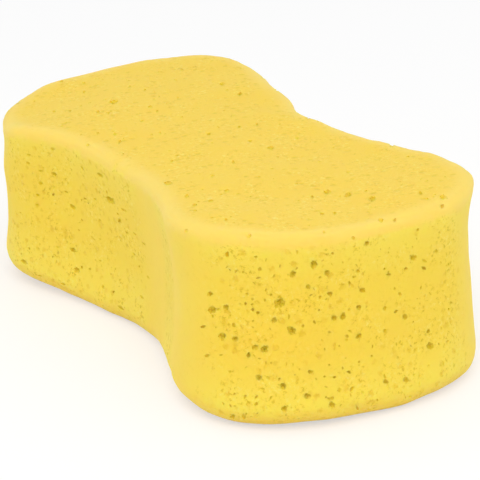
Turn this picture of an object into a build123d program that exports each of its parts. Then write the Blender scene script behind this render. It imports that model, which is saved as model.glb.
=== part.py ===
"""A bone-shaped washing sponge, cut in one piece from a block of open-cell foam.

It lies flat, long side along X, with its origin in the middle of the face it rests on.
Seen from above, two rounded lobes stand either side of a narrow waist that the hand closes round.
The block was squeezed while it was cut, so its wall sprang back hollow between two rims.
The upper rim is crisp, and the lower one is rounder, where the block's own weight rolls it under.
All sizes are in millimetres.
"""

import os
from math import atan2, degrees, sqrt

from build123d import *

# Driving dimensions
LENGTH = 200.0
LOBE_WIDTH = 100.0
WAIST_WIDTH = 75.0
HEIGHT = 61.0
END_RADIUS = 130.0
CORNER_RADIUS = 37.0
UPPER_RIM_RADIUS = 3.0
LOWER_RIM_RADIUS = 8.5
WALL_HOLLOW = 2.2

# The wall's section reaches this far in from the outline, and the plain core overlaps it a little
WALL_DEPTH = 16.0
CORE_OVERLAP = 2.0

# The outline's arcs in the quarter where X and Y are positive. The corner arc lies inside the end arc and
# touches it. The waist arc has its centre out beyond the waist, and touches the corner arc from outside.
END_X = LENGTH / 2 - END_RADIUS
CORNER_Y = LOBE_WIDTH / 2 - CORNER_RADIUS
CORNER_X = END_X + sqrt((END_RADIUS - CORNER_RADIUS) ** 2 - CORNER_Y**2)
WAIST_DROP = WAIST_WIDTH / 2 - CORNER_Y
WAIST_RADIUS = (CORNER_X**2 + WAIST_DROP**2 - CORNER_RADIUS**2) / (2 * (CORNER_RADIUS - WAIST_DROP))
WAIST_Y = WAIST_WIDTH / 2 + WAIST_RADIUS

# Directions, in degrees from +X, in which the corner arc meets the end arc and the waist arc
END_MEETING = degrees(atan2(CORNER_Y, CORNER_X - END_X))
WAIST_MEETING = degrees(atan2(WAIST_Y - CORNER_Y, -CORNER_X))

# The hollow of the wall is one shallow arc that touches both rims, with its centre outside the sponge. Its
# deepest line lies above half the height, because the lower rim is the larger.
RIM_SPAN = HEIGHT - UPPER_RIM_RADIUS - LOWER_RIM_RADIUS
RIM_EXCESS = LOWER_RIM_RADIUS - UPPER_RIM_RADIUS
HOLLOW_Z = (HEIGHT + RIM_EXCESS) / 2 + WALL_HOLLOW * RIM_EXCESS / RIM_SPAN
LOWER_RISE = HOLLOW_Z - LOWER_RIM_RADIUS
UPPER_RISE = HEIGHT - UPPER_RIM_RADIUS - HOLLOW_Z
HOLLOW_RADIUS = (LOWER_RISE**2 / WALL_HOLLOW + WALL_HOLLOW) / 2 - LOWER_RIM_RADIUS
HOLLOW_X = WALL_HOLLOW - HOLLOW_RADIUS

# Directions, in degrees from inwards, in which the hollow meets each rim
LOWER_MEETING = degrees(atan2(LOWER_RISE, LOWER_RIM_RADIUS - HOLLOW_X))
UPPER_MEETING = degrees(atan2(UPPER_RISE, UPPER_RIM_RADIUS - HOLLOW_X))


def outline(inset):
    """The closed line round the sponge, seen from above, moved inwards by inset."""
    end = CenterArc((END_X, 0), END_RADIUS - inset, 0, END_MEETING)
    corner_turn = WAIST_MEETING - END_MEETING
    corner = CenterArc((CORNER_X, CORNER_Y), CORNER_RADIUS - inset, END_MEETING, corner_turn)
    waist = CenterArc((0, WAIST_Y), WAIST_RADIUS + inset, WAIST_MEETING - 180, 90 - WAIST_MEETING)
    quarter = Curve() + [end, corner, waist]
    half = quarter + mirror(quarter, Plane.YZ)
    return half + mirror(half, Plane.XZ)


def wall_section():
    """The wall cut across at the end of a lobe: outside are the lower rim, the hollow and the upper rim."""
    low_centre = (LOWER_RIM_RADIUS, LOWER_RIM_RADIUS)
    high_centre = (UPPER_RIM_RADIUS, HEIGHT - UPPER_RIM_RADIUS)
    low_rim = CenterArc(low_centre, LOWER_RIM_RADIUS, 270, -90 - LOWER_MEETING)
    hollow = CenterArc((HOLLOW_X, HOLLOW_Z), HOLLOW_RADIUS, -LOWER_MEETING, LOWER_MEETING + UPPER_MEETING)
    high_rim = CenterArc(high_centre, UPPER_RIM_RADIUS, 180 + UPPER_MEETING, -90 - UPPER_MEETING)
    inside = Polyline(
        (UPPER_RIM_RADIUS, HEIGHT), (WALL_DEPTH, HEIGHT), (WALL_DEPTH, 0), (LOWER_RIM_RADIUS, 0)
    )
    across_the_wall = Plane(origin=(LENGTH / 2, 0, 0), x_dir=(-1, 0, 0), z_dir=(0, 1, 0))
    return across_the_wall * make_face(Curve() + [low_rim, hollow, high_rim, inside])


def foam_body():
    """The whole sponge: its wall, led once round the outline, filled by a plain core."""
    wall = sweep(wall_section(), path=outline(0).wire())
    core = extrude(make_face(outline(WALL_DEPTH - CORE_OVERLAP)), HEIGHT)
    return wall + core


os.makedirs("parts", exist_ok=True)
export_step(foam_body(), "parts/foam_body.step")
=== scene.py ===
# %% [markdown]
# # A bone-shaped washing sponge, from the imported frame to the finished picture
# The real object is one block of open-cell foam. It is squeezed while it is cut to two lobes and a waist, so
# its wall springs back a little hollow, between a crisp upper rim and a rounder lower one. Cut cells are open
# all over its faces.
# Each step below first says what the thing is on the real sponge, how it could be made, and why it is made
# this way here. Lengths are in metres, as in the frame, and MM turns millimetres into metres.

# %% Load the frame
import math
import random
from collections import namedtuple
from functools import partial

import bpy
import bmesh
from mathutils import Matrix, Vector
from mathutils.bvhtree import BVHTree
from mathutils.kdtree import KDTree


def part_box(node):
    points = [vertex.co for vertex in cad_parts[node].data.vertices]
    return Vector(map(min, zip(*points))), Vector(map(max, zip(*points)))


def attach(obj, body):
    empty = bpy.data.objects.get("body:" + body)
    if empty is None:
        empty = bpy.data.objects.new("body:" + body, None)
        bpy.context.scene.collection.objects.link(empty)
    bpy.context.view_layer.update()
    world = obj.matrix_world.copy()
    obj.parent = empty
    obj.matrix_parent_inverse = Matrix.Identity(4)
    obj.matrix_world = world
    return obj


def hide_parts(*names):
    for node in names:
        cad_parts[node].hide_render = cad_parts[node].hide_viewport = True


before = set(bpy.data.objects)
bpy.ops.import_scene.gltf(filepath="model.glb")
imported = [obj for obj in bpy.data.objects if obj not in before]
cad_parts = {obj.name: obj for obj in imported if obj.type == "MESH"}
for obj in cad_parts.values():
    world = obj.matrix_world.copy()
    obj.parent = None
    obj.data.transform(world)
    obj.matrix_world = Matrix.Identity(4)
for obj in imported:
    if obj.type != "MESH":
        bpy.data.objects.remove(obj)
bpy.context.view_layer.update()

MM = 0.001

# %% [markdown]
# ## The measures of the cut
# Seen from above, each quarter of the outline is three arcs that touch: a flat one across the end of a lobe,
# a tight one round its corner, and one that bends the other way at the waist. The wall between the top and
# the bottom is three arcs too: the upper rim, the shallow hollow and the lower rim. The length, the width and
# the height come from the frame, and the rest is what the block was cut to. The centres of the arcs and the
# angles at which they meet follow from these by triangles, so one changed size moves them all together.

# %% Driving sizes
low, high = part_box("foam_body")
LENGTH = high[0] - low[0]
LOBE_WIDTH = high[1] - low[1]
HEIGHT = high[2] - low[2]
WAIST_WIDTH = 75.0 * MM
END_RADIUS = 130.0 * MM
CORNER_RADIUS = 37.0 * MM
UPPER_RIM_RADIUS = 3.0 * MM
LOWER_RIM_RADIUS = 8.5 * MM
WALL_HOLLOW = 2.2 * MM
print(f"block {LENGTH / MM:.0f} x {LOBE_WIDTH / MM:.0f} x {HEIGHT / MM:.0f} mm")

# %% The arcs of the outline
end_x = LENGTH / 2 - END_RADIUS
corner_y = LOBE_WIDTH / 2 - CORNER_RADIUS
corner_x = end_x + math.sqrt((END_RADIUS - CORNER_RADIUS) ** 2 - corner_y**2)
waist_drop = WAIST_WIDTH / 2 - corner_y
waist_radius = (corner_x**2 + waist_drop**2 - CORNER_RADIUS**2) / (2 * (CORNER_RADIUS - waist_drop))
waist_y = WAIST_WIDTH / 2 + waist_radius
end_meeting = math.atan2(corner_y, corner_x - end_x)
waist_meeting = math.atan2(waist_y - corner_y, -corner_x)
print(f"the arc at the waist has a radius of {waist_radius / MM:.0f} mm")

# %% The arcs of the wall's section
rim_excess = LOWER_RIM_RADIUS - UPPER_RIM_RADIUS
rim_span = HEIGHT - UPPER_RIM_RADIUS - LOWER_RIM_RADIUS
hollow_z = (HEIGHT + rim_excess) / 2 + WALL_HOLLOW * rim_excess / rim_span
lower_rise = hollow_z - LOWER_RIM_RADIUS
upper_rise = HEIGHT - UPPER_RIM_RADIUS - hollow_z
hollow_radius = (lower_rise**2 / WALL_HOLLOW + WALL_HOLLOW) / 2 - LOWER_RIM_RADIUS
hollow_x = LENGTH / 2 - WALL_HOLLOW + hollow_radius
lower_meeting = math.atan2(lower_rise, hollow_x - LENGTH / 2 + LOWER_RIM_RADIUS)
upper_meeting = math.atan2(upper_rise, hollow_x - LENGTH / 2 + UPPER_RIM_RADIUS)
print(f"the hollow has a radius of {hollow_radius / MM:.0f} mm and is deepest {hollow_z / MM:.0f} mm up")

# %% [markdown]
# ## The camera
# The photograph looks down on one end of the sponge from a little above, with a long lens. A camera can be
# turned by hand until the edges lie right, but angles written as numbers can be measured and kept. It comes
# first, because the open cells that catch the eye are later seated where the photograph shows them, by
# sending a ray from the camera through that point of the picture.

# %% The camera at the photograph's angle
PICTURE = 480
CAMERA_AZIMUTH = math.radians(61.4)
CAMERA_ELEVATION = math.radians(20.5)
CAMERA_ROLL = math.radians(-2.27)
CAMERA_DISTANCE = 0.706
SENSOR_WIDTH = 36.0
PIXELS_PER_MM = 3.00
SHIFT_RIGHT = -14.7
SHIFT_DOWN = -14.4
NEAREST_SEEN = 0.05

aim = Vector((0, 0, HEIGHT / 2))
back = Vector((
    math.sin(CAMERA_AZIMUTH) * math.cos(CAMERA_ELEVATION),
    -math.cos(CAMERA_AZIMUTH) * math.cos(CAMERA_ELEVATION),
    math.sin(CAMERA_ELEVATION),
))
bpy.ops.object.camera_add(location=aim + back * CAMERA_DISTANCE)
camera = bpy.context.object
camera.name = "camera"
roll = Matrix.Rotation(CAMERA_ROLL, 3, "Z").to_quaternion()
camera.rotation_mode = "QUATERNION"
camera.rotation_quaternion = back.to_track_quat("Z", "Y") @ roll
camera.data.sensor_width = SENSOR_WIDTH
focal_pixels = PIXELS_PER_MM * CAMERA_DISTANCE / MM
camera.data.lens = focal_pixels / PICTURE * camera.data.sensor_width
camera.data.shift_x = -SHIFT_RIGHT / PICTURE
camera.data.shift_y = SHIFT_DOWN / PICTURE
camera.data.clip_start = NEAREST_SEEN
bpy.context.scene.camera = camera
print(f"camera lens {camera.data.lens:.0f} mm at {CAMERA_DISTANCE:.2f} m")

# %% [markdown]
# ## The block, drawn with turns of one point
# A die cuts the real block in one stroke. In Blender the same form can be a lofted surface, a squeezed box
# under Subdivision Surface, or a point that is swung along arcs. The last is used, because the spin operator
# draws true arcs: one point swung three times is the wall's section, and the section swung three times is
# a quarter of the wall. Two mirrors make the rest, and a face closes the top and the bottom.

# %% Two helpers: a piece that starts as one point, and a swing of what is selected
GRID = 2.0 * MM
FEWEST_STEPS = 3
ALONG = (0, 1, 0)
UP = (0, 0, 1)


def start_from_point(name, place):
    """A plane merged to one point, which the spin operator then draws with."""
    bpy.ops.object.select_all(action="DESELECT")
    bpy.ops.mesh.primitive_plane_add(size=MM, location=place)
    piece = bpy.context.object
    piece.name = name
    bpy.ops.object.transform_apply(location=True, rotation=True, scale=True)
    bpy.ops.object.mode_set(mode="EDIT")
    bpy.ops.mesh.select_all(action="SELECT")
    bpy.ops.mesh.merge(type="CENTER")
    return piece


def swing(centre, radius, angle, axis):
    """Swings what is selected about an axis by the right-hand rule, which the operator counts as minus."""
    steps = max(FEWEST_STEPS, round(abs(angle) * radius / GRID))
    bpy.ops.mesh.spin(steps=steps, angle=-angle, center=centre, axis=axis)


# %% The wall's section, then a quarter of the outline
upper_x = LENGTH / 2 - UPPER_RIM_RADIUS
lower_x = LENGTH / 2 - LOWER_RIM_RADIUS
foam = start_from_point("foam_block", (upper_x, 0, HEIGHT))
swing((upper_x, 0, HEIGHT - UPPER_RIM_RADIUS), 2 * UPPER_RIM_RADIUS, math.pi / 2 + upper_meeting, ALONG)
swing((hollow_x, 0, hollow_z), hollow_radius, -lower_meeting - upper_meeting, ALONG)
swing((lower_x, 0, LOWER_RIM_RADIUS), 2 * LOWER_RIM_RADIUS, math.pi / 2 + lower_meeting, ALONG)
bpy.ops.mesh.select_all(action="SELECT")
swing((end_x, 0, 0), END_RADIUS, end_meeting, UP)
swing((corner_x, corner_y, 0), CORNER_RADIUS, waist_meeting - end_meeting, UP)
swing((0, waist_y, 0), waist_radius, math.pi / 2 - waist_meeting, UP)
bpy.ops.object.mode_set(mode="OBJECT")
print("a quarter of the wall:", len(foam.data.polygons), "faces")

# %% [markdown]
# The quarter is mirrored twice, and the open rings left at the top and the bottom are closed by one face
# each. The voxel remesh then turns the whole block into one even skin of squares, which takes dents and cuts
# alike everywhere. It leaves faint steps on slanted faces, so the skin is smoothed, and a shrinkwrap lays it
# back on a copy of the drawn block, which keeps the arcs true.

# %% Mirror and close
SAME_PLACE = GRID / 100


def apply_modifier(piece, kind, **settings):
    """Adds a modifier with the given settings and applies it."""
    modifier = piece.modifiers.new(kind.lower(), kind)
    for name, value in settings.items():
        setattr(modifier, name, value)
    bpy.ops.object.modifier_apply(modifier=modifier.name)


def select_only(piece):
    """Makes one piece the only selected and the active one."""
    bpy.ops.object.select_all(action="DESELECT")
    piece.select_set(True)
    bpy.context.view_layer.objects.active = piece


select_only(foam)
apply_modifier(foam, "MIRROR", use_axis=(True, True, False), merge_threshold=SAME_PLACE)
bpy.ops.object.mode_set(mode="EDIT")
for face_height in (0, HEIGHT):
    bpy.ops.mesh.select_all(action="DESELECT")
    bpy.ops.object.mode_set(mode="OBJECT")
    for point in foam.data.vertices:
        point.select = abs(point.co.z - face_height) < SAME_PLACE
    bpy.ops.object.mode_set(mode="EDIT")
    bpy.ops.mesh.edge_face_add()
bpy.ops.mesh.select_all(action="SELECT")
bpy.ops.mesh.remove_doubles(threshold=SAME_PLACE)
bpy.ops.mesh.normals_make_consistent(inside=False)
bpy.ops.object.mode_set(mode="OBJECT")
print("the closed block:", len(foam.data.polygons), "faces")

# %% Make the skin even
SKIN_GRID = 1.7 * MM

pattern = bpy.data.objects.new("pattern", foam.data.copy())
bpy.context.collection.objects.link(pattern)
apply_modifier(foam, "REMESH", mode="VOXEL", voxel_size=SKIN_GRID)
apply_modifier(foam, "SMOOTH", factor=0.5, iterations=3)
apply_modifier(foam, "SHRINKWRAP", target=pattern, wrap_method="NEAREST_SURFACEPOINT")
bpy.data.objects.remove(pattern)
print("even skin:", len(foam.data.vertices), "points,", len(foam.data.polygons), "faces")

# %% [markdown]
# ## The unevenness of a soft block
# Foam gives way under the die, so no two corners of a real sponge are alike: here the far lobe droops at one
# corner and bulges at the next, and the near lobe is drawn in a little. A sculpting brush could do this by
# hand. Proportional editing does the same in code, and keeps each pull as one line that can be changed.
# A pull has a place, in parts of the half length, the half width and the height, then a push and a reach in
# millimetres. The wide pulls started from a fit of the outline to the photograph's silhouette, and the
# narrow ones were chosen by comparing the silhouettes.

# %% One pull
def pull(place, push, reach):
    """Moves the skin near a place, and less and less of it up to the pull's reach."""
    half_length, half_width = LENGTH / 2, LOBE_WIDTH / 2
    centre = Vector((place[0] * half_length, place[1] * half_width, place[2] * HEIGHT))
    bpy.ops.object.mode_set(mode="OBJECT")
    nearest = min(foam.data.vertices, key=lambda point: (point.co - centre).length)
    for point in foam.data.vertices:
        point.select = point.index == nearest.index
    bpy.ops.object.mode_set(mode="EDIT")
    bpy.ops.transform.translate(
        value=Vector(push) * MM, use_proportional_edit=True,
        proportional_edit_falloff="SMOOTH", proportional_size=reach * MM,
    )


# %% All the pulls, each with its place, its push and its reach
PULLS = {
    "near lobe, far corner, upper": ((0.84, 0.88, 0.90), (1.4, -3.0, 2.4), 45),
    "near lobe, near corner, upper": ((0.84, -0.88, 0.90), (-3.0, 0.0, 1.4), 45),
    "near lobe, far corner, middle": ((0.84, 0.80, 0.48), (0.2, 0.5, 0.0), 25),
    "near lobe, far corner, foot": ((0.84, 0.85, 0.16), (-0.3, -0.6, 0.0), 15),
    "near lobe, far corner, rim": ((0.80, 0.85, 1.00), (0.0, 0.4, 0.6), 8),
    "near lobe, far side, rim": ((0.63, 0.91, 0.98), (0.1, -0.3, -0.7), 12),
    "near lobe, waist side, rim": ((0.38, 0.82, 0.98), (-0.2, 0.2, 0.4), 14),
    "near lobe, far corner, lower": ((0.84, 0.88, 0.10), (0.6, -0.7, -1.1), 45),
    "near lobe, near corner, lower": ((0.84, -0.88, 0.10), (-0.9, -0.9, 0.2), 45),
    "near end, far side, lower": ((0.93, 0.52, 0.05), (-0.6, -0.3, 0.9), 20),
    "near end, near side, lower": ((0.92, -0.50, 0.05), (-0.3, 0.0, 0.8), 22),
    "near end, foot": ((0.97, 0.08, 0.03), (0.1, 0.0, -0.3), 16),
    "far lobe, far corner, upper": ((-0.84, 0.88, 0.90), (-3.4, 2.7, 1.2), 45),
    "far lobe, near corner, upper": ((-0.84, -0.88, 0.90), (3.5, -0.9, -4.2), 45),
    "far lobe, near corner, rim": ((-0.73, -0.96, 0.90), (0.7, 1.4, -0.1), 16),
    "far lobe, near corner, middle": ((-0.72, -0.94, 0.60), (-0.5, -1.1, -0.1), 20),
    "far lobe, near corner, lower": ((-0.84, -0.88, 0.10), (0.9, -0.5, 2.5), 45),
    "far lobe, far corner, lower": ((-0.84, 0.88, 0.10), (1.3, -2.4, -2.0), 45),
    "waist, far side, upper": ((0.0, 0.80, 0.90), (0.4, -0.4, 0.5), 45),
    "waist, near side, upper": ((0.0, -0.80, 0.90), (-1.2, -0.2, -1.6), 45),
    "waist, near side, lower": ((0.0, -0.80, 0.10), (1.8, 1.8, -0.9), 45),
    "far lobe, shoulder, upper": ((-0.42, 0.92, 0.90), (0.0, -0.8, 1.5), 30),
    "near end, upper": ((1.0, 0.0, 0.90), (-1.5, -1.1, 1.0), 45),
    "far end, upper": ((-1.0, 0.0, 0.90), (-1.9, 2.1, -1.2), 45),
    "far end, lower": ((-1.0, 0.0, 0.10), (-3.5, -1.6, -0.6), 45),
    "far end, near side, rim": ((-0.97, -0.32, 0.97), (-0.2, 0.0, 0.5), 14),
    "far lobe, near corner, foot": ((-0.69, -0.95, 0.10), (-0.1, -0.5, -0.3), 12),
    "near lobe, near side": ((0.45, -0.88, 0.49), (-0.3, 0.2, -1.2), 35),
    "far lobe, far side, rim": ((-0.62, 1.0, 0.96), (-0.2, -0.8, -0.6), 22),
    "far lobe, waist side, rim": ((-0.29, 0.83, 0.96), (2.3, 1.7, 0.3), 17),
    "waist, far side, rim": ((-0.08, 0.72, 0.98), (0.0, -0.7, -0.7), 13),
    "far lobe, near side, foot": ((-0.50, -0.90, 0.05), (0.0, 0.5, 0.6), 18),
    "waist, near side, foot": ((-0.22, -0.72, 0.04), (0.0, -0.6, -0.4), 15),
}
select_only(foam)
for place, push, reach in PULLS.values():
    pull(place, push, reach)
bpy.ops.object.mode_set(mode="OBJECT")
print("pulls made:", len(PULLS))

# %% [markdown]
# The sponge rests on a flat surface, so whatever the pulls pushed below the floor is flattened onto it. The
# cut faces of real foam are never quite flat, so a displace with slow clouds then gives the skin shallow
# waves. A bump could only shade them. A copy of the skin at this stage is kept, to seat the cells on and to
# measure their depth from.

# %% Flatten where it rests, and make shallow waves
WAVE_SPACING = 28 * MM
WAVE_HEIGHT = 1.6 * MM

for point in foam.data.vertices:
    point.select = point.co.z < 0
bpy.ops.object.mode_set(mode="EDIT")
bpy.ops.transform.resize(value=(1, 1, 0), center_override=(0, 0, 0))
bpy.ops.object.mode_set(mode="OBJECT")

waves = bpy.data.textures.new("slow waves", "CLOUDS")
waves.noise_scale = WAVE_SPACING
apply_modifier(foam, "DISPLACE", texture=waves, texture_coords="LOCAL", strength=WAVE_HEIGHT, mid_level=0.5)
for point in foam.data.vertices:
    point.co.z = max(point.co.z, 0)
print("skin with waves:", [round(size / MM, 1) for size in foam.dimensions], "mm")

# %% Keep a copy of the skin
skin = foam.data.copy()
skin_bmesh = bmesh.new()
skin_bmesh.from_mesh(skin)
skin_tree = BVHTree.FromBMesh(skin_bmesh)
skin_bmesh.free()
print("skin kept:", len(skin.polygons), "faces")

# %% [markdown]
# ## The open cells
# The knife opens every bubble that it passes through. Large ones leave ragged pits up to four millimetres
# across, and small ones leave pinholes. They could be painted on, but a pit has a lit floor and a dark upper
# lip that only real depth gives. So each pit is cut: a few forms are modelled once, copied by the hundred at
# many sizes and turns, and taken out of the block by Boolean modifiers. The large forms have 320 faces, the
# middle ones 80 and the small ones, of which there are most, 20.

# %% A helper for the forms of a burst cell
TORN_CORNER = 0.45
TORN_REACH = 1.1


def cell_form(name, fineness, roughness, stretch, corners=0):
    """A ball of radius one, roughened, stretched and pulled out at some corners, all in edit mode."""
    bpy.ops.object.select_all(action="DESELECT")
    bpy.ops.mesh.primitive_ico_sphere_add(subdivisions=fineness, radius=1.0, location=(0, 0, 0))
    form = bpy.context.object
    form.name = name
    bpy.ops.object.mode_set(mode="EDIT")
    bpy.ops.mesh.select_all(action="SELECT")
    bpy.ops.transform.vertex_random(offset=roughness, normal=1.0, seed=len(name))
    bpy.ops.transform.resize(value=stretch)
    for corner in range(corners):
        turn = corner * 2 * math.pi / corners
        outward = Vector((math.cos(turn), math.sin(turn), 0))
        bpy.ops.object.mode_set(mode="OBJECT")
        tip = max(form.data.vertices, key=lambda point: point.co.dot(outward))
        for point in form.data.vertices:
            point.select = point.index == tip.index
        bpy.ops.object.mode_set(mode="EDIT")
        bpy.ops.transform.translate(
            value=outward * TORN_CORNER, use_proportional_edit=True,
            proportional_edit_falloff="SHARP", proportional_size=TORN_REACH,
        )
    bpy.ops.object.mode_set(mode="OBJECT")
    return form


# %% The forms: their fineness, their roughness and their stretch
LARGE_FORMS = [
    cell_form("large_round_cell", 3, 0.26, (1.0, 0.85, 1.0)),
    cell_form("large_torn_cell", 3, 0.26, (0.85, 0.8, 0.9), corners=3),
]
MIDDLE_FORMS = [
    cell_form("round_cell", 2, 0.28, (1.0, 0.85, 1.0)),
    cell_form("long_cell", 2, 0.28, (1.25, 0.65, 0.9)),
    cell_form("three_cornered_cell", 2, 0.26, (0.85, 0.8, 0.9), corners=3),
    cell_form("pointed_cell", 2, 0.28, (0.85, 0.7, 1.0), corners=1),
]
SMALL_FORMS = [
    cell_form("pinhole", 1, 0.15, (1.0, 0.85, 1.0)),
    cell_form("slit", 1, 0.12, (1.4, 0.6, 0.9)),
]
print("cell forms:", [form.name for form in LARGE_FORMS + MIDDLE_FORMS + SMALL_FORMS])

# %% [markdown]
# The cells that catch the eye in the photograph get their places from it. They could all be strewn by chance,
# but the eye knows this sponge by its cluster of large pits at the near end. Each row is a point of the
# picture in its own pixels, from the left and from the top, and the width of the pit there. The last list
# holds nicks in the far rim.

# %% Seen cells by their place in the picture: right, down and width in pixels
END_WALL_CELLS = [
    (314, 264, 8), (293, 274, 7), (280, 303, 10), (292, 331, 9), (264, 349, 9), (283, 386, 8), (259, 378, 7),
    (284, 409, 7), (307, 396, 7), (332, 405, 7), (310, 372, 6), (330, 294, 6), (334, 318, 7), (343, 317, 7),
    (362, 290, 6), (359, 307, 6), (359, 336, 7), (413, 258, 7), (424, 261, 5), (424, 268, 5), (400, 294, 5),
    (405, 317, 6), (430, 346, 8), (406, 380, 6), (386, 382, 6), (357, 408, 5), (258, 313, 5), (274, 320, 6),
    (255, 405, 5), (452, 303, 4), (349, 372, 5), (327, 273, 6), (358, 271, 5), (436, 251, 4), (297, 251, 4),
    (367, 243, 6), (210, 294, 6), (212, 310, 8), (226, 307, 6), (236, 271, 4), (203, 327, 5), (222, 336, 8),
    (235, 339, 6), (207, 356, 5), (229, 372, 4), (233, 417, 6), (353, 238, 4), (219, 309, 4), (247, 294, 4),
    (227, 267, 3), (243, 272, 3), (250, 272, 3), (260, 269, 4), (274, 276, 3), (266, 290, 3), (271, 295, 4),
    (320, 297, 4), (308, 287, 5), (314, 289, 3), (289, 317, 4), (303, 326, 4), (315, 323, 4), (319, 310, 3),
    (253, 321, 3), (221, 355, 3), (255, 347, 6), (316, 379, 3), (268, 378, 4), (279, 380, 4), (326, 387, 3),
    (326, 397, 3), (332, 398, 4), (257, 396, 4), (271, 398, 4), (286, 415, 3), (246, 414, 3), (274, 421, 3),
    (347, 336, 4), (350, 331, 4), (339, 346, 3), (322, 340, 3), (329, 365, 3), (266, 260, 3), (280, 266, 3),
]
SIDE_WALL_CELLS = [
    (100, 175, 6), (110, 200, 9), (54, 174, 6), (41, 171, 5), (41, 183, 5), (73, 207, 6), (38, 195, 4),
    (38, 205, 4), (123, 210, 4), (53, 149, 5), (29, 155, 5), (28, 163, 5), (73, 250, 8), (101, 261, 4),
    (77, 270, 7), (103, 287, 4), (63, 284, 5), (121, 308, 6), (142, 297, 5), (148, 277, 4), (24, 262, 7),
    (59, 183, 3), (86, 199, 4), (95, 199, 3), (130, 195, 3), (66, 230, 3), (79, 230, 3), (34, 237, 3),
    (58, 247, 4), (100, 239, 3), (126, 232, 4), (135, 234, 4), (144, 244, 4), (134, 254, 4), (90, 269, 3),
    (40, 276, 4), (111, 274, 3), (67, 192, 4), (100, 220, 3), (82, 220, 3),
]
TOP_FACE_CELLS = [
    (145, 90, 4), (113, 102, 8), (70, 111, 5), (81, 106, 4), (98, 111, 5), (130, 87, 4), (182, 70, 4),
    (222, 84, 6), (168, 183, 8), (187, 195, 5), (233, 161, 5), (98, 134, 4), (88, 145, 4), (250, 141, 5),
    (271, 148, 6), (327, 192, 7), (348, 195, 6), (372, 199, 6), (366, 191, 3), (312, 197, 4), (420, 192, 5),
    (427, 199, 4), (443, 197, 6), (297, 138, 5), (292, 149, 3), (158, 72, 3), (84, 84, 5), (84, 92, 5),
    (109, 112, 5), (150, 107, 5), (157, 111, 4), (142, 121, 4), (62, 126, 4), (54, 111, 5), (240, 94, 6),
    (178, 98, 4), (231, 116, 3), (239, 127, 4), (209, 134, 5), (182, 117, 4), (115, 134, 5), (120, 142, 5),
    (160, 133, 4), (172, 162, 5), (213, 176, 5), (278, 157, 3), (257, 125, 4), (442, 206, 4), (381, 220, 5),
    (395, 219, 4), (335, 214, 5), (322, 214, 4), (324, 231, 4), (211, 201, 5), (227, 191, 5), (195, 205, 5),
    (226, 219, 4), (186, 231, 4), (249, 236, 5),
]
RIM_NICKS = [
    (18, 99, 4), (62, 78, 4), (263, 76, 4), (277, 84, 3), (309, 112, 4), (318, 116, 3), (392, 140, 4),
]
seen_rows = len(END_WALL_CELLS) + len(SIDE_WALL_CELLS) + len(TOP_FACE_CELLS) + len(RIM_NICKS)
print("places read from the picture:", seen_rows)

# %% [markdown]
# A ray from the camera through the point of the picture finds the skin behind it. A nick lies on the outline,
# where a ray can just miss, so the ray then moves down the picture until it hits.

# %% From a point of the picture to a place on the skin
STEP_DOWN = 0.5


def skin_under(right, down):
    """The place on the skin, and its outward direction, behind one point of the picture or next below it."""
    place = None
    while place is None and down < PICTURE:
        across = (right / PICTURE - 0.5 + camera.data.shift_x) * camera.data.sensor_width
        upward = (0.5 - down / PICTURE + camera.data.shift_y) * camera.data.sensor_width
        ray = camera.rotation_quaternion @ Vector((across, upward, -camera.data.lens))
        place, normal = skin_tree.ray_cast(camera.location, ray.normalized())[:2]
        down += STEP_DOWN
    return place, normal


middle_place, middle_normal = skin_under(PICTURE / 2, PICTURE / 2)
print("behind the picture's middle:", [round(part / MM) for part in middle_place], "mm")

# %% [markdown]
# A cell is a centre, a matrix that turns and sizes one of the forms, and a reach that holds all of it. It
# sits with its centre a little under or over the skin, so that the pit is a deep bowl or a shallow dish. A
# large one has smaller ones broken into its side, because the walls between real cells tear.

# %% Note one cell, by chance or as it is seen
Cell = namedtuple("Cell", "centre matrix reach form")
REACH_OF_FORM = 1.5
MOST_STRETCH = 2.0
LEAST_FACING = 0.1
SPREAD = (0.85, 1.15)
SEEN_LENGTH_SPREAD = (0.85, 1.1)
SEEN_WIDTH_SPREAD = (0.9, 1.15)
rng = random.Random(11)
cells = []


def note_cell(centre, axes, sizes, forms):
    """Notes one cell with a form drawn from the given ones."""
    turned = Matrix((axes[0] * sizes[0], axes[1] * sizes[1], axes[2] * sizes[2])).transposed().to_4x4()
    matrix = Matrix.Translation(centre) @ turned
    cells.append(Cell(centre, matrix, REACH_OF_FORM * max(sizes), rng.choice(forms)))


def direction_across(normal):
    """A direction along the skin, by chance."""
    along = normal.orthogonal().normalized()
    along.rotate(Matrix.Rotation(rng.uniform(0, 2 * math.pi), 3, normal))
    return along


def add_cell(place, normal, radius, sink, forms):
    """Seats one cell at a place on the skin, turned by chance about the skin's direction."""
    along = direction_across(normal)
    sizes = [radius * rng.uniform(*SPREAD) for axis in range(3)]
    note_cell(place - normal * sink * radius, (along, normal.cross(along), normal), sizes, forms)


def add_seen_cell(place, normal, radius, sink, forms, toward, longer):
    """Seats a cell drawn out along one direction, and more so where the skin is seen at a slant."""
    stretch = longer * min(1 / max(normal.dot(back), LEAST_FACING), MOST_STRETCH)
    along = (toward - normal * normal.dot(toward)).normalized() * rng.choice((-1, 1))
    half_length = radius * stretch * rng.uniform(*SEEN_LENGTH_SPREAD)
    half_width = radius * rng.uniform(*SEEN_WIDTH_SPREAD)
    sizes = (half_length, half_width, radius)
    note_cell(place - normal * sink * radius, (along, normal.cross(along), normal), sizes, forms)


# %% A large cell with a torn side
PARTS_OF_CLUSTER = (1, 2, 2, 3)
PART_OFFSET = (0.6, 0.9)
PART_SIZE = (0.4, 0.65)
PART_SINK = (-0.2, 0.2)


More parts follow.
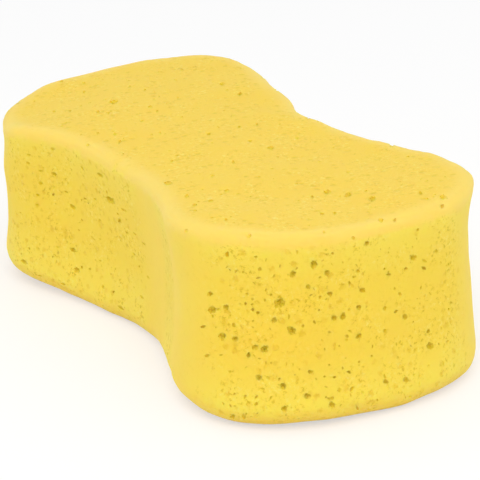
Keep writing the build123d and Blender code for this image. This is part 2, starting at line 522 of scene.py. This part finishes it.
def add_cluster(place, normal, radius, sink, add=add_cell):
    """A large cell with up to three smaller ones broken into its side, which makes its edge ragged."""
    add(place, normal, radius, sink, LARGE_FORMS)
    for part in range(rng.choice(PARTS_OF_CLUSTER)):
        offset = direction_across(normal) * radius * rng.uniform(*PART_OFFSET)
        part_radius = radius * rng.uniform(*PART_SIZE)
        part_sink = sink + rng.uniform(*PART_SINK)
        add(place + offset, normal, part_radius, part_sink, MIDDLE_FORMS)


# %% [markdown]
# The seen cells are seated list by list. A width in the picture is the width of the dark of a pit, so each
# list has the share of it that the cut cell takes, how deep its centre sinks, the direction in which the
# pits are drawn out, and how much. On the end wall and the top that is towards the camera, which makes them
# look round in the picture, and on the side wall it is along the block, as in the photograph.

# %% Seat the seen cells
ALONG_BLOCK = Vector((1, 0, 0))
WIDEST_SMALL = 3
WIDEST_MIDDLE = 5
MIDDLE_SINK = (-0.3, 0.2)
SMALL_SINK = (-0.2, 0.3)
PICTURE_LISTS = [
    (END_WALL_CELLS, 0.86, 0.1, back, 1.05),
    (SIDE_WALL_CELLS, 0.85, 0.0, ALONG_BLOCK, 1.1),
    (TOP_FACE_CELLS, 1.15, -0.05, back, 0.85),
    (RIM_NICKS, 1.4, 0.25, back, 1.8),
]
for picture_cells, share, depth, toward, longer in PICTURE_LISTS:
    add_here = partial(add_seen_cell, toward=toward, longer=longer)
    for right, down, width in picture_cells:
        place, normal = skin_under(right, down)
        radius = share * width / 2 / PIXELS_PER_MM * MM
        if width > WIDEST_MIDDLE:
            add_cluster(place, normal, radius, depth, add_here)
        elif width > WIDEST_SMALL:
            add_here(place, normal, radius, depth + rng.uniform(*MIDDLE_SINK), MIDDLE_FORMS)
        else:
            add_here(place, normal, radius, depth + rng.uniform(*SMALL_SINK), SMALL_FORMS)
print("cells seated from the picture:", len(cells))

# %% [markdown]
# The rest are strewn by chance, with a fixed seed. Where they may lie follows the photograph: hardly any on
# the upper rim and on the corners where the foam was pressed smooth, most on the walls at the two ends, and
# mostly small and shallow ones on the top, which looks sliced with a sharper blade. Painted weights could
# say this too, but a rule by place still holds when the block changes.

# %% The ridge of the upper rim
RIDGE_SLOPES = (0.4, 0.75)
ridge = [
    point.co for point in skin.vertices
    if point.co.z > HEIGHT / 2 and RIDGE_SLOPES[0] < point.normal.z < RIDGE_SLOPES[1]
]
ridge_tree = KDTree(len(ridge))
for index, place in enumerate(ridge):
    ridge_tree.insert(place, index)
ridge_tree.balance()
print("points on the ridge of the rim:", len(ridge))

# %% How smooth the skin is at a place
RIM_BAND = 8 * MM
WALL_SHARE = 0.5
CORNER_FADE = 1.3
UPRIGHT = 2.0
UPRIGHT_FALL = 2.5
SMOOTH_CORNERS = {
    "near lobe, near corner": (Vector((58, -46)) * MM, 24 * MM),
    "near lobe, waist side": (Vector((20, -38)) * MM, 19 * MM),
    "near lobe, far corner": (Vector((84, 40)) * MM, 22 * MM),
    "far lobe, near corner": (Vector((-77, -45)) * MM, 13 * MM),
    "far lobe, far corner": (Vector((-62, 48)) * MM, 20 * MM),
}


def ease(amount):
    """Clamps a number to nought and one, and eases it at both ends."""
    amount = max(0.0, min(1.0, amount))
    return amount * amount * (3 - 2 * amount)


def upright_share(normal):
    """One on a wall, fading to nought where the skin turns to face up or down."""
    return ease(UPRIGHT - UPRIGHT_FALL * abs(normal.z))


def rim_share(place, normal):
    """One on the ridge of the upper rim, fading over the band inwards, and sooner down the wall."""
    reach = RIM_BAND * (WALL_SHARE + (1 - WALL_SHARE) * abs(normal.z))
    return ease(1 - ridge_tree.find(place)[2] / reach)


def smoothness(place, normal):
    """One where the skin is pressed smooth, on the upper rim and the tight corners, and nought elsewhere."""
    smooth = rim_share(place, normal)
    for centre, reach in SMOOTH_CORNERS.values():
        near_corner = ease(CORNER_FADE - CORNER_FADE * (place.xy - centre).length / reach)
        smooth = max(smooth, near_corner * upright_share(normal))
    return smooth


print(f"smoothness behind the picture's middle: {smoothness(middle_place, middle_normal):.2f}")

# %% [markdown]
# Each size has its half width in millimetres and three rates: how many cells a square centimetre holds on
# the end walls and on the faces, and what part of that is left where the camera sees the skin, because the
# cells read from the picture are there already.

# %% How many cells of each size a square centimetre holds
SQUARE_CM = 100 * MM * MM
SIZES = [
    ("large", 1.3, 0.12, 0.0, 0.0),
    ("middle", 0.90, 0.80, 0.25, 0.15),
    ("small", 0.60, 2.2, 1.6, 0.45),
    ("tiny", 0.42, 4.0, 2.5, 0.6),
]
END_WALL_FROM = 70 * MM
FLAT_SLOPE = 0.8
SEEN_SLOPE = 0.05
SIDE_SHARE = 0.5
SMOOTH_SHARE = 0.03
SMOOTH_POWER = 3


def share_of_cells(face, on_walls, on_faces, where_seen):
    """How many cells a square centimetre holds where this face of the skin is."""
    if abs(face.normal.z) > FLAT_SLOPE:
        rate = on_faces
    elif abs(face.center.x) > END_WALL_FROM:
        rate = on_walls
    else:
        rate = on_walls * SIDE_SHARE
    if face.normal.dot(back) > SEEN_SLOPE:
        rate *= where_seen
    smooth = smoothness(face.center, face.normal)
    return rate * (SMOOTH_SHARE + (1 - SMOOTH_SHARE) * (1 - smooth) ** SMOOTH_POWER)


# %% Strew the rest by chance
SIZE_SPREAD = (0.75, 1.3)
SINK_ON_FACES = (-0.6, 0.0)
SINK_ON_WALLS = (-0.6, 0.4)
FORMS_OF_SIZE = {"middle": MIDDLE_FORMS, "small": MIDDLE_FORMS, "tiny": SMALL_FORMS}


def point_on(face):
    """A point somewhere on a face, by chance."""
    corners = [skin.vertices[index].co for index in face.vertices]
    shares = [rng.random() for corner in corners]
    return sum((corner * share for corner, share in zip(corners, shares)), Vector()) / sum(shares)


for name, half_width, *rates in SIZES:
    weights = [face.area * share_of_cells(face, *rates) for face in skin.polygons]
    count = round(sum(weights) / SQUARE_CM)
    for face in rng.choices(skin.polygons, weights=weights, k=count):
        radius = half_width * rng.uniform(*SIZE_SPREAD) * MM
        flat = abs(face.normal.z) > FLAT_SLOPE
        sink = rng.uniform(*(SINK_ON_FACES if flat else SINK_ON_WALLS))
        if name == "large":
            add_cluster(point_on(face), face.normal, radius, sink)
        else:
            add_cell(point_on(face), face.normal, radius, sink, FORMS_OF_SIZE[name])
    print(name, "cells strewn:", count)
print("cells in all:", len(cells))

# %% [markdown]
# A Boolean modifier is sure only when the parts of its cutter don't cross each other, so the cells are sorted
# into layers in which none touch. Each layer is one cutter, and one modifier takes it out of the block.

# %% Sort the cells into layers
near = KDTree(len(cells))
for index, cell in enumerate(cells):
    near.insert(cell.centre, index)
near.balance()
widest = max(cell.reach for cell in cells)
layer_of = {}
for index, cell in enumerate(cells):
    taken = set()
    for place, other, gap in near.find_range(cell.centre, cell.reach + widest):
        if other in layer_of and gap < cell.reach + cells[other].reach:
            taken.add(layer_of[other])
    layer_of[index] = min(layer for layer in range(len(taken) + 1) if layer not in taken)
LAYERS = max(layer_of.values()) + 1
print("layers of cells:", LAYERS)

# %% Cut the layers out of the block
def cut_layer(layer):
    """Gathers one layer's cells into one cutter and takes it out of the block."""
    gathered = bmesh.new()
    for index, cell in enumerate(cells):
        if layer_of[index] != layer:
            continue
        stamp = cell.form.data.copy()
        stamp.transform(cell.matrix)
        gathered.from_mesh(stamp)
        bpy.data.meshes.remove(stamp)
    mesh = bpy.data.meshes.new("cutter")
    gathered.to_mesh(mesh)
    gathered.free()
    cutter = bpy.data.objects.new("cutter", mesh)
    bpy.context.collection.objects.link(cutter)
    select_only(foam)
    apply_modifier(foam, "BOOLEAN", object=cutter, operation="DIFFERENCE", solver="MANIFOLD")
    bpy.data.objects.remove(cutter)


for layer in range(LAYERS):
    cut_layer(layer)
    print("layer", layer, "cut, faces now", len(foam.data.polygons))
for form in LARGE_FORMS + MIDDLE_FORMS + SMALL_FORMS:
    bpy.data.objects.remove(form)
foam.data.calc_loop_triangles()
print("triangles:", len(foam.data.loop_triangles))

# %% [markdown]
# The finish has to know where it is on the foam. It could guess from the shape, but the script has just made
# the shape, so four numbers are kept for each point of the mesh: its depth below the old skin in millimetres,
# how smooth the skin was pressed there, how near the ridge of the rim is, and how upright the wall stands.

# %% Keep four numbers on the mesh
TURN_TO_FACE = 1.2
kept = {"depth": [], "smooth": [], "rim": [], "wall": []}
for point in foam.data.vertices:
    place, normal, face, distance = skin_tree.find_nearest(point.co)
    kept["depth"].append(distance / MM)
    kept["smooth"].append(smoothness(place, normal))
    kept["rim"].append(rim_share(place, normal))
    kept["wall"].append(1 - min(1, abs(normal.z) * TURN_TO_FACE))
for name, values in kept.items():
    attribute = foam.data.attributes.new(name, "FLOAT", "POINT")
    attribute.data.foreach_set("value", values)
print("deepest cell:", round(max(kept["depth"]), 1), "mm")

# %% [markdown]
# ## The finish of dry foam
# Dry foam is matt. Its colour is palest and smoothest on the pressed rims and a little deeper on the sliced
# top.
# On the walls it is deepest half way up and painted paler towards both rims, which is painted light, and in
# the pits it is painted darker still, which is painted shade. One flat colour would look like plastic, and a
# photograph would tie the finish to one object. So the colour is mixed by nodes from the four numbers kept on
# the mesh, with specks and a fine bump from noise in the piece's own Object coordinates, for the cells that
# are too small to cut.

# %% A short way to add and join nodes
def add_node(tree, kind, settings=None, **inputs):
    """Adds a node, sets its properties, then sets or joins its inputs by name, or _0, _1 and so on."""
    node = tree.nodes.new(kind)
    for name, value in (settings or {}).items():
        setattr(node, name, value)
    for name, value in inputs.items():
        socket = node.inputs[int(name[1:]) if name[0] == "_" else name.replace("_", " ")]
        if isinstance(value, bpy.types.NodeSocket):
            tree.links.new(value, socket)
        else:
            socket.default_value = value
    return node


def blend(tree, amount, first, second):
    """Mixes two colours by an amount, and gives the mixed colour."""
    node = add_node(tree, "ShaderNodeMix", {"data_type": "RGBA"}, _0=amount, _6=first, _7=second)
    return node.outputs[2]


def ramp(tree, value, start, end, low=0.0, high=1.0):
    """Maps a number from start to end onto low to high, and holds it there."""
    node = add_node(tree, "ShaderNodeMapRange", {"clamp": True}, _0=value, _1=start, _2=end, _3=low, _4=high)
    return node.outputs[0]


def calculate(tree, operation, *values):
    """One step of arithmetic on one or two numbers."""
    inputs = {f"_{index}": value for index, value in enumerate(values)}
    return add_node(tree, "ShaderNodeMath", {"operation": operation}, **inputs).outputs[0]


def multiply(tree, first, second):
    """Multiplies two numbers."""
    return calculate(tree, "MULTIPLY", first, second)


# %% [markdown]
# The walls are deepest in colour just above their middle and painted paler towards both rims. This is painted
# light for the rims, which catch more light from the sides. Pressed skin is warmer, because fewer torn cells
# shade it.

# %% The colour of the skin, with painted light towards the walls' rims
RIM_COLOUR = (0.990, 0.675, 0.150, 1)
TOP_COLOUR = (0.952, 0.615, 0.077, 1)
WALL_COLOUR = (0.922, 0.675, 0.077, 1)
# painted light: the paler colour of the walls towards both rims
WALL_EDGE_PAINTED_LIGHT = (1.000, 0.750, 0.102, 1)
PRESSED_COLOUR = (1.000, 0.672, 0.090, 1)
WALL_MIDDLE = 0.57 * HEIGHT
PAINTED_LIGHT_FROM = 0.17 * HEIGHT
PAINTED_LIGHT_FULL = 0.38 * HEIGHT
PRESSED_RANGE = (0.2, 1.0)
MOST_PRESSED = 0.8


def skin_colour_and_painted_light(tree, place, smooth, rim, wall):
    """The walls, painted paler towards their rims as painted light, the top and the bottom, and the rims over
    both.
    """
    height = add_node(tree, "ShaderNodeSeparateXYZ", Vector=place).outputs["Z"]
    from_middle = calculate(tree, "ABSOLUTE", calculate(tree, "SUBTRACT", height, WALL_MIDDLE))
    # painted light: the walls turn paler towards both rims
    edge = ramp(tree, from_middle, PAINTED_LIGHT_FROM, PAINTED_LIGHT_FULL)
    walls = blend(tree, edge, WALL_COLOUR, WALL_EDGE_PAINTED_LIGHT)
    pressed = ramp(tree, smooth, *PRESSED_RANGE, 0.0, MOST_PRESSED)
    walls = blend(tree, pressed, walls, PRESSED_COLOUR)
    base = blend(tree, wall, TOP_COLOUR, walls)
    return blend(tree, rim, base, RIM_COLOUR)


# %% [markdown]
# The smallest cells come in two kinds. Some are single round spots, which a Voronoi pattern gives, one to
# some of its cells. Most are a broken grain of dark flecks and light struts that comes and goes in patches,
# which is noise seen through slower noise. Both patterns are drawn on a place that is itself moved a little
# by noise, so that no spot has a clean edge.

# %% Spots and grain for the cells too small to cut
SPECK_COLOUR = (0.765, 0.510, 0.028, 1)
FLECK_COLOUR = (0.625, 0.415, 0.010, 1)
LIGHT_SPECK_COLOUR = (1.0, 0.80, 0.20, 1)
WOBBLE = 0.0018
WOBBLE_SCALE = 900.0
SPOT_SCALE = 330.0
PATCH_SCALE = 110.0
GRAIN_SCALE = 800.0
SPOT_EDGE = (0.40, 0.18)
SPOT_CHANCE = (0.45, 0.90)
BUSY_PATCH = (0.36, 0.62)
DARK_GRAIN = (0.56, 0.68)
LIGHT_GRAIN = (0.44, 0.32)
DARK_SHARES = (0.45, 0.85)
LIGHT_SHARE = 0.65


def moved_place(tree, place):
    """The place, moved a little by noise."""
    noise = add_node(tree, "ShaderNodeTexNoise", Vector=place, Scale=WOBBLE_SCALE, Detail=2.0)
    moved = add_node(
        tree, "ShaderNodeMix", {"data_type": "VECTOR"}, _0=WOBBLE, _4=place, _5=noise.outputs["Color"],
    )
    return moved.outputs[1]


def round_spots(tree, moved, rough):
    """One round spot in some of the pattern's cells, and none where the skin is smooth."""
    voronoi = add_node(tree, "ShaderNodeTexVoronoi", Vector=moved, Scale=SPOT_SCALE)
    chance = add_node(tree, "ShaderNodeSeparateColor", Color=voronoi.outputs["Color"]).outputs["Red"]
    spot = ramp(tree, voronoi.outputs["Distance"], *SPOT_EDGE)
    return multiply(tree, multiply(tree, spot, ramp(tree, chance, *SPOT_CHANCE)), rough)


def add_grain(tree, base, grain, place, rough, wall):
    """Dark flecks and light struts over the base colour, in patches."""
    patch = add_node(tree, "ShaderNodeTexNoise", Vector=place, Scale=PATCH_SCALE, Detail=1.0).outputs[0]
    busy = multiply(tree, ramp(tree, patch, *BUSY_PATCH), rough)
    dark = multiply(tree, ramp(tree, grain, *DARK_GRAIN), busy)
    light = multiply(tree, ramp(tree, grain, *LIGHT_GRAIN), busy)
    dark = multiply(tree, dark, ramp(tree, wall, 0.0, 1.0, *DARK_SHARES))
    base = blend(tree, dark, base, FLECK_COLOUR)
    return blend(tree, multiply(tree, light, LIGHT_SHARE), base, LIGHT_SPECK_COLOUR)


# %% [markdown]
# A pit is painted darker, as painted shade, in two steps: at once inside its lip, and then with its depth.
# The steps are weaker on the top, where the light falls straight in.

# %% The painted shade in the pits
# painted shade: the darker colours inside the pits, on the walls and on the top
WALL_PIT_PAINTED_SHADE = (0.765, 0.605, 0.024, 1)
TOP_PIT_PAINTED_SHADE = (0.765, 0.730, 0.070, 1)
LIP_SHADE_DEPTHS = (0.05, 0.3)
LIP_SHADE_SHARES = (0.4, 0.6)
BOWL_SHADE_DEPTHS = (0.3, 2.2)
BOWL_SHADE_SHARES = (0.8, 1.0)


def add_painted_pit_shade(tree, base, depth, wall):
    """Painted shade inside the cut cells, darker by their depth in millimetres."""
    pit_shade = blend(tree, wall, TOP_PIT_PAINTED_SHADE, WALL_PIT_PAINTED_SHADE)
    # painted shade, at once inside the lip and then deepening with the pit's depth
    for depths, shares in ((LIP_SHADE_DEPTHS, LIP_SHADE_SHARES), (BOWL_SHADE_DEPTHS, BOWL_SHADE_SHARES)):
        amount = multiply(tree, ramp(tree, depth, *depths), ramp(tree, wall, 0.0, 1.0, *shares))
        base = blend(tree, amount, base, pit_shade)
    return base


# %% [markdown]
# Light goes into foam and comes out again close by, so that no pit turns black. Light scattered under the
# surface does this, and red travels farthest. The torn struts at the surface catch light at a slant, like
# down, and a little sheen stands for them. There is next to no gloss.

# %% The foam's material
SCATTER_REACH = 2.0 * MM
BUMP_HEIGHT = 0.5 * MM
SPECK_SHARE = 0.6
SMOOTH_RANGE = (0.1, 0.8)
LEAST_ROUGH = 0.12


def foam_finish():
    """The matt, light-scattering material of the whole block."""
    material = bpy.data.materials.new("open-celled foam")
    material.use_nodes = True
    tree = material.node_tree
    shader = tree.nodes["Principled BSDF"]
    place = add_node(tree, "ShaderNodeTexCoord").outputs["Object"]
    depth, smooth, rim, wall = [
        add_node(tree, "ShaderNodeAttribute", {"attribute_name": name}).outputs["Fac"] for name in kept
    ]
    rough = ramp(tree, smooth, *SMOOTH_RANGE, 1.0, LEAST_ROUGH)
    moved = moved_place(tree, place)
    spot = round_spots(tree, moved, rough)
    grain = add_node(tree, "ShaderNodeTexNoise", Vector=moved, Scale=GRAIN_SCALE, Detail=3.0, Roughness=0.6)
    grain = grain.outputs[0]

    base = skin_colour_and_painted_light(tree, place, smooth, rim, wall)
    base = blend(tree, multiply(tree, spot, SPECK_SHARE), base, SPECK_COLOUR)
    base = add_grain(tree, base, grain, place, rough, wall)
    base = add_painted_pit_shade(tree, base, depth, wall)
    tree.links.new(base, shader.inputs["Base Color"])

    bump_shape = multiply(tree, calculate(tree, "SUBTRACT", grain, spot), rough)
    bump = add_node(tree, "ShaderNodeBump", Strength=0.5, Distance=BUMP_HEIGHT, Height=bump_shape)
    tree.links.new(bump.outputs["Normal"], shader.inputs["Normal"])
    shader.inputs["Subsurface Weight"].default_value = 1.0
    shader.inputs["Subsurface Radius"].default_value = (1.0, 0.8, 0.3)
    shader.inputs["Subsurface Scale"].default_value = SCATTER_REACH
    shader.inputs["Sheen Weight"].default_value = 0.30
    shader.inputs["Sheen Roughness"].default_value = 0.45
    shader.inputs["Sheen Tint"].default_value = (1.0, 0.70, 0.30, 1)
    shader.inputs["Roughness"].default_value = 0.95
    shader.inputs["Specular IOR Level"].default_value = 0.15
    return material


# %% Put the finish on the block
SMOOTH_SHADED_TO = math.radians(40)
foam.data.materials.clear()
foam.data.materials.append(foam_finish())
select_only(foam)
bpy.ops.object.shade_smooth_by_angle(angle=SMOOTH_SHADED_TO)
print("finish on", foam.name, "with", len(foam.data.materials[0].node_tree.nodes), "nodes")

# %% [markdown]
# ## The floor and the light
# The photograph is a cut-out on white, so the floor and the world are white too, and a wide soft lamp above
# the camera's right lights the near end a little more than the side. The floor keeps the sponge's shadow. It
# is lifted to white for the camera alone, by Is Camera Ray, so that no extra light reaches the foam.

# %% The floor
FLOOR_SIZE = 6.0
FLOOR_WHITE = 0.90
SEEN_SHARE = 0.5
FLOOR_LIFT = 0.56

bpy.ops.object.select_all(action="DESELECT")
bpy.ops.mesh.primitive_plane_add(size=FLOOR_SIZE, location=(0, 0, 0))
floor = bpy.context.object
floor.name = "floor"
paper = bpy.data.materials.new("white paper")
paper.use_nodes = True
paper.node_tree.nodes.clear()
tree = paper.node_tree
seen = add_node(tree, "ShaderNodeLightPath").outputs["Is Camera Ray"]
white = ramp(tree, seen, 0.0, 1.0, FLOOR_WHITE, FLOOR_WHITE * SEEN_SHARE)
pale = add_node(tree, "ShaderNodeCombineColor", Red=white, Green=white, Blue=white)
matt = add_node(tree, "ShaderNodeBsdfDiffuse", Color=pale.outputs[0])
lift = add_node(tree, "ShaderNodeEmission", Color=(1, 1, 1, 1), Strength=multiply(tree, seen, FLOOR_LIFT))
both = add_node(tree, "ShaderNodeAddShader", _0=matt.outputs[0], _1=lift.outputs[0])
add_node(tree, "ShaderNodeOutputMaterial", Surface=both.outputs[0])
floor.data.materials.append(paper)
print("floor", FLOOR_SIZE, "m wide")

# %% The world
SKY = 0.80
world = bpy.data.worlds.new("white studio")
bpy.context.scene.world = world
world.use_nodes = True
tree = world.node_tree
tree.nodes.clear()
path = add_node(tree, "ShaderNodeLightPath").outputs
shown_white = calculate(tree, "MAXIMUM", path["Is Camera Ray"], path["Is Glossy Ray"])
strength = ramp(tree, shown_white, 0.0, 1.0, SKY, 1.0)
sky = add_node(tree, "ShaderNodeBackground", Color=(1, 1, 1, 1), Strength=strength)
add_node(tree, "ShaderNodeOutputWorld", Surface=sky.outputs[0])
print("sky at", SKY)

# %% The lamp
KEY_PLACE = Vector((0.63, -0.36, 0.90))
KEY_SIZE = 0.7
KEY_POWER = 4.0
bpy.ops.object.light_add(type="AREA", location=KEY_PLACE)
key = bpy.context.object
key.name = "key"
key.data.size = KEY_SIZE
key.data.energy = KEY_POWER
key.rotation_mode = "QUATERNION"
key.rotation_quaternion = (KEY_PLACE - aim).to_track_quat("Z", "Y")
bpy.context.scene.view_settings.view_transform = "Standard"
print("key", KEY_POWER, "W at", [round(part, 2) for part in KEY_PLACE], "m")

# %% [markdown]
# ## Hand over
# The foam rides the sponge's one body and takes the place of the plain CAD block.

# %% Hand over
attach(foam, "root")
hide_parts("foam_body")
